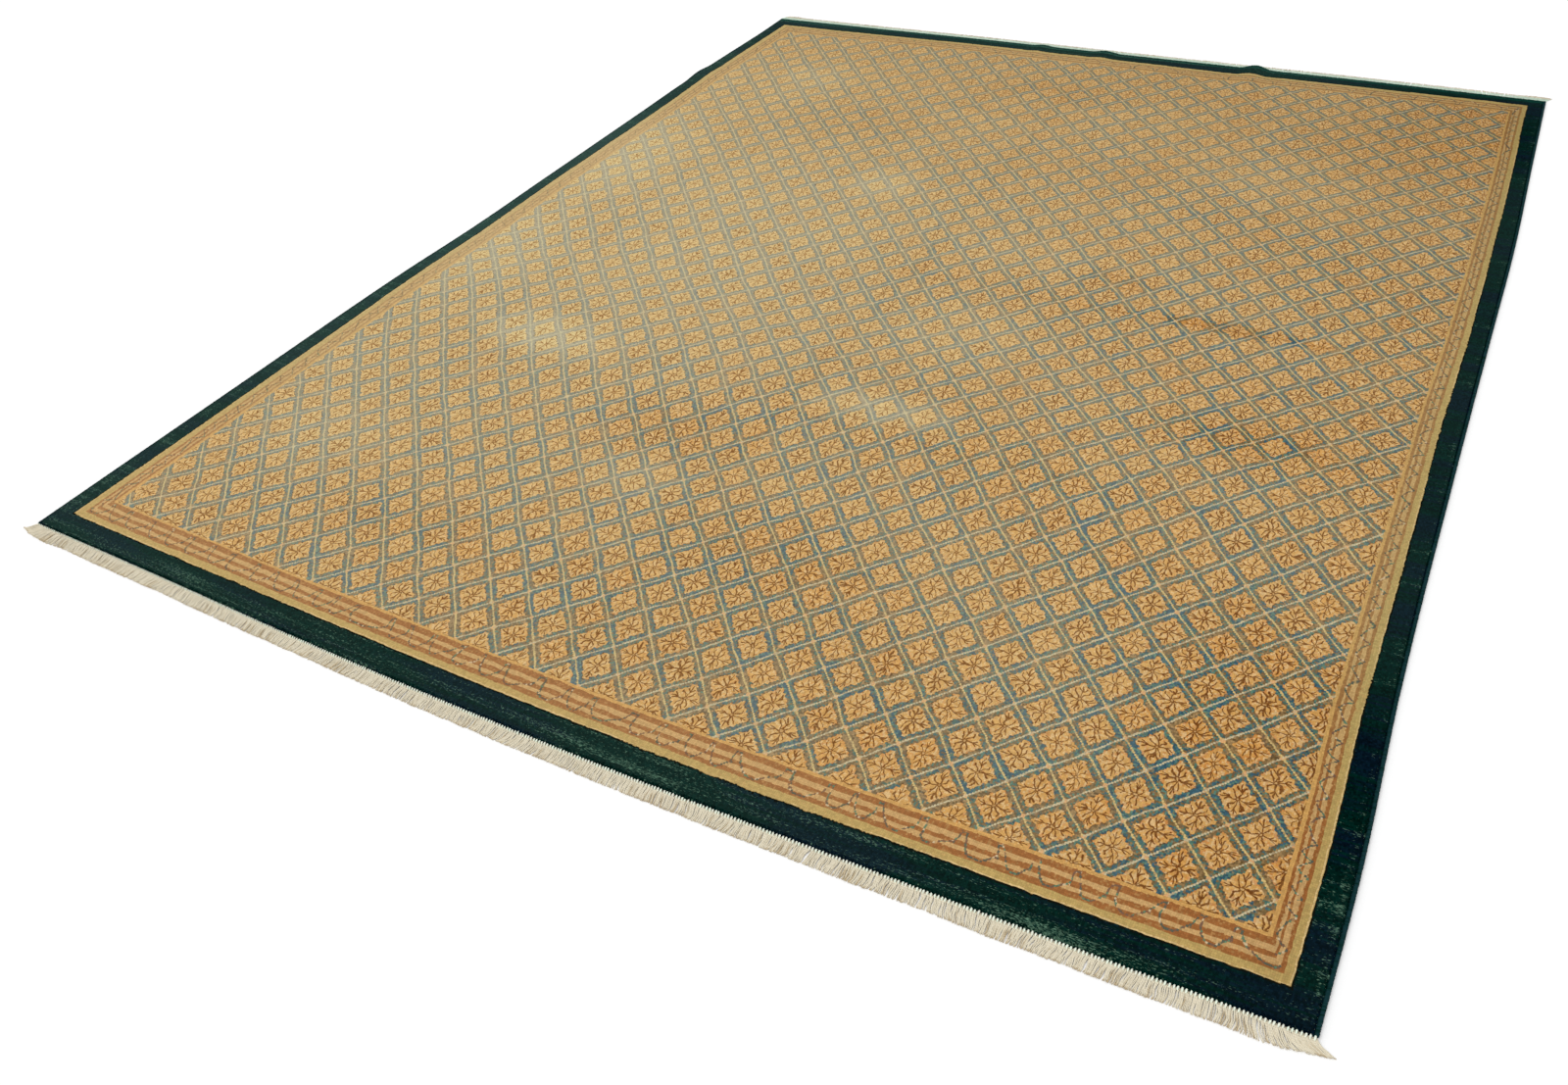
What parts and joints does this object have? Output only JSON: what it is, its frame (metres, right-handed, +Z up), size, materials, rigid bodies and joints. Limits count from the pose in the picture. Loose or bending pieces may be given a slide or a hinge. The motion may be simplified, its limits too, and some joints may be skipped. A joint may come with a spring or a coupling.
{
  "type": "oushak rug",
  "caption": "Large hand-knotted wool rug lying flat, with a plain dark border, a lattice field, overcast sides and a cotton fringe at both ends.",
  "frame": {"origin": "the middle of the whole rug's box, on the floor that it lies on", "axes": "+X along the fringed ends, +Y along the rug's length, +Z up out of the pile"},
  "size_m": [2.4928, 3.2252, 0.019],
  "materials": {
    "pile": "knotted wool pile: tan-orange lattice field with blue-grey lines, striped tan guard and a dark green border, matt with a soft sheen",
    "selvedge": "dark blue-green overcast wool",
    "fringe": "undyed cotton warp ends, matt cream"
  },
  "bodies": {
    "root": {"rug_body": "pile", "selvedge_left": "selvedge", "selvedge_right": "selvedge", "fringe_near": "fringe", "fringe_far": "fringe"}
  },
  "joints": []
}
